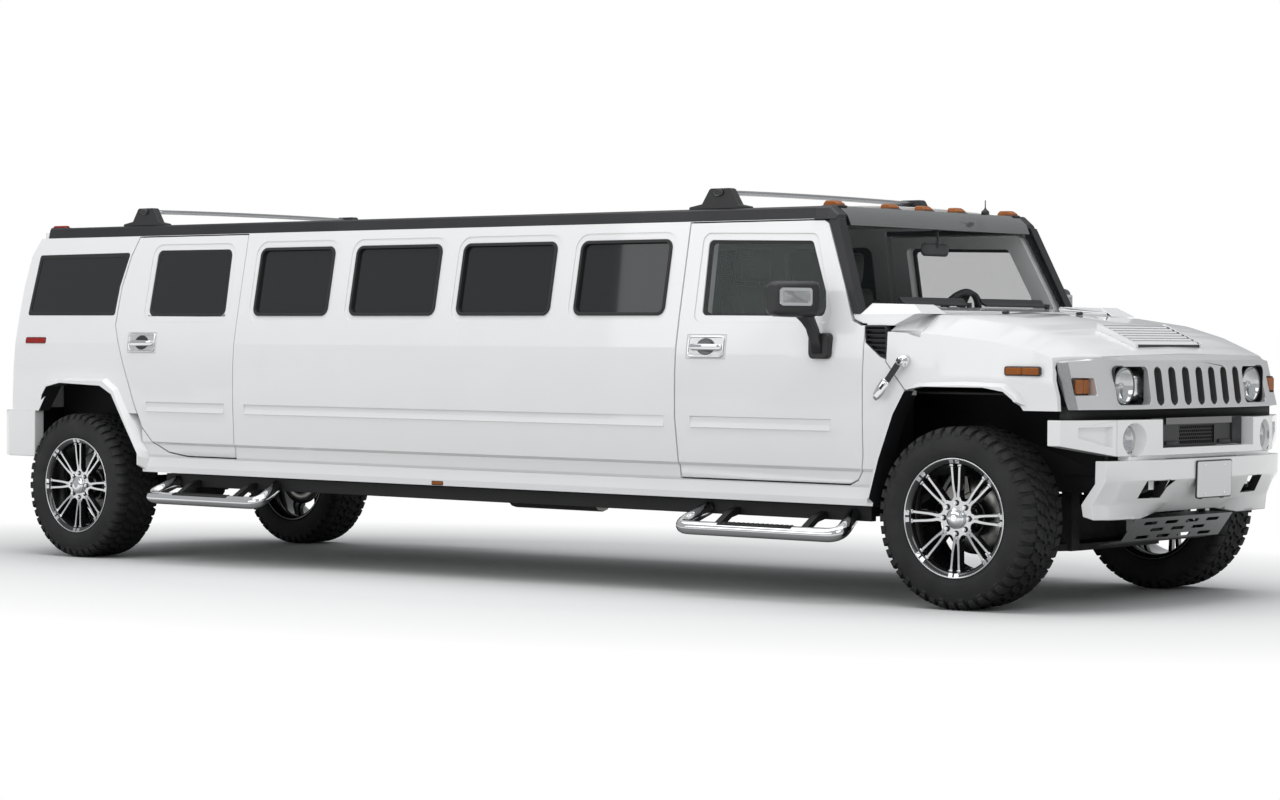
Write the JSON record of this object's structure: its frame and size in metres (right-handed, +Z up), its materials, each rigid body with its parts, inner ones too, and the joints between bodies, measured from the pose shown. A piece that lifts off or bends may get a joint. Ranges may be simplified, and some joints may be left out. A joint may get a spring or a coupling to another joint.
{
  "type": "stretch limousine",
  "caption": "Long off-road style stretch limousine: boxy white body on a ladder frame, opening doors, hood and tailgate, steered front wheels, cabin with bench seats.",
  "frame": {"origin": "centre of the overall box, on the ground under the tyres", "axes": "+X forward along the car, +Y to the car's left, +Z up"},
  "size_m": [7.9294, 2.595, 2.0798],
  "materials": {
    "paint_white": "gloss",
    "glass_light": "polished",
    "glass_dark": "polished",
    "rubber_black": "satin",
    "trim_black": "satin",
    "silver_satin": "satin",
    "lens_amber": "clear lens",
    "lens_red": "clear lens",
    "lamp_chrome": "polished",
    "mesh_black": "matt",
    "aluminium_plate": "satin",
    "frame_black": "matt",
    "iron": "matt",
    "exhaust_steel": "satin",
    "tyre": "matt",
    "rim_black": "gloss",
    "step_chrome": "polished",
    "wiper_black": "matt",
    "cabin_plastic": "matt",
    "leather_black": "satin"
  },
  "bodies": {
    "car": {"amber_lamps": "lens_amber", "body_side_left": "paint_white", "body_side_right": "paint_white", "cowl": "paint_white", "cowl_vents": "trim_black", "dashboard": "cabin_plastic", "engine": "iron", "exhaust": "exhaust_steel", "floor_pan": "frame_black", "front_bumper": "paint_white", "front_lamps": "lamp_chrome", "front_meshes": "mesh_black", "front_seats": "leather_black", "front_suspension": "iron", "fuel_tank": "frame_black", "grille_surround": "silver_satin", "inner_fenders": "mesh_black", "ladder_frame": "frame_black", "lounge_seats": "leather_black", "prop_shaft": "iron", "rear_axle": "iron", "rear_bumper": "paint_white", "red_lamps": "lens_red", "roof_edges": "trim_black", "roof_panel": "paint_white", "roof_rack": "trim_black", "side_steps": "step_chrome", "side_windows": "glass_dark", "skid_plate": "aluminium_plate", "steering_wheel": "cabin_plastic", "window_seals": "rubber_black", "windscreen": "glass_light", "wipers": "wiper_black"},
    "wheel_front_right": {"front_tyre_right": "tyre", "front_rim_right": "rim_black"},
    "wheel_front_left": {"front_tyre_left": "tyre", "front_rim_left": "rim_black"},
    "wheel_rear_right": {"rear_tyre_right": "tyre", "rear_rim_right": "rim_black"},
    "wheel_rear_left": {"rear_tyre_left": "tyre", "rear_rim_left": "rim_black"},
    "knuckle_steered_right": {"knuckle_right": "iron"},
    "knuckle_steered_left": {"knuckle_left": "iron"},
    "door_front_right": {"front_door_right": "paint_white", "front_door_glass_right": "glass_light", "mirror_right": "trim_black"},
    "door_front_left": {"front_door_left": "paint_white", "front_door_glass_left": "glass_light", "mirror_left": "trim_black"},
    "door_rear_right": {"rear_door_right": "paint_white", "rear_door_glass_right": "glass_dark"},
    "door_rear_left": {"rear_door_left": "paint_white", "rear_door_glass_left": "glass_dark"},
    "hood_body": {"hood": "paint_white", "hood_vent": "silver_satin", "hood_latches": "trim_black", "hood_lamps": "lens_amber"},
    "tailgate_body": {"tailgate": "paint_white", "tailgate_glass": "glass_dark"}
  },
  "joints": [
    {"name": "steer_right", "type": "hinge", "parent": "car", "child": "knuckle_steered_right", "pos_m": [3.17748, -0.7795, 0.43004], "axis": [0.0099, 0, 1], "range_deg": [-32, 32]},
    {"name": "spin_front_right", "type": "hinge", "parent": "knuckle_steered_right", "child": "wheel_front_right", "pos_m": [3.17748, -0.8815, 0.43004], "axis": [0, 1, 0], "continuous": true},
    {"name": "spin_rear_right", "type": "hinge", "parent": "car", "child": "wheel_rear_right", "pos_m": [-3.17983, -0.8815, 0.43005], "axis": [0, 1, 0], "continuous": true},
    {"name": "open_front_door_right", "type": "hinge", "parent": "car", "child": "door_front_right", "pos_m": [2.63633, -1.003, 1.07393], "axis": [0.0099, 0, 1], "range_deg": [0, 65]},
    {"name": "open_rear_door_right", "type": "hinge", "parent": "car", "child": "door_rear_right", "pos_m": [-1.78445, -1.003, 1.11768], "axis": [0.0099, 0, 1], "range_deg": [0, 65]},
    {"name": "steer_left", "type": "hinge", "parent": "car", "child": "knuckle_steered_left", "pos_m": [3.17748, 0.7795, 0.43004], "axis": [0.0099, 0, 1], "range_deg": [-32, 32]},
    {"name": "spin_front_left", "type": "hinge", "parent": "knuckle_steered_left", "child": "wheel_front_left", "pos_m": [3.17748, 0.8815, 0.43004], "axis": [0, 1, 0], "continuous": true},
    {"name": "spin_rear_left", "type": "hinge", "parent": "car", "child": "wheel_rear_left", "pos_m": [-3.17983, 0.8815, 0.43005], "axis": [0, 1, 0], "continuous": true},
    {"name": "open_front_door_left", "type": "hinge", "parent": "car", "child": "door_front_left", "pos_m": [2.63633, 1.003, 1.07393], "axis": [-0.0099, 0, -1], "range_deg": [0, 65]},
    {"name": "open_rear_door_left", "type": "hinge", "parent": "car", "child": "door_rear_left", "pos_m": [-1.78445, 1.003, 1.11768], "axis": [-0.0099, 0, -1], "range_deg": [0, 65]},
    {"name": "open_hood", "type": "hinge", "parent": "car", "child": "hood_body", "pos_m": [3.81016, 0, 1.20232], "axis": [0, 1, 0], "range_deg": [0, 60]},
    {"name": "open_tailgate", "type": "hinge", "parent": "car", "child": "tailgate_body", "pos_m": [-3.66914, 0, 1.91637], "axis": [0, 1, 0], "range_deg": [0, 85]}
  ],
  "couplings": [
    {"joint": "steer_left", "follows": "steer_right", "ratio": 1}
  ]
}
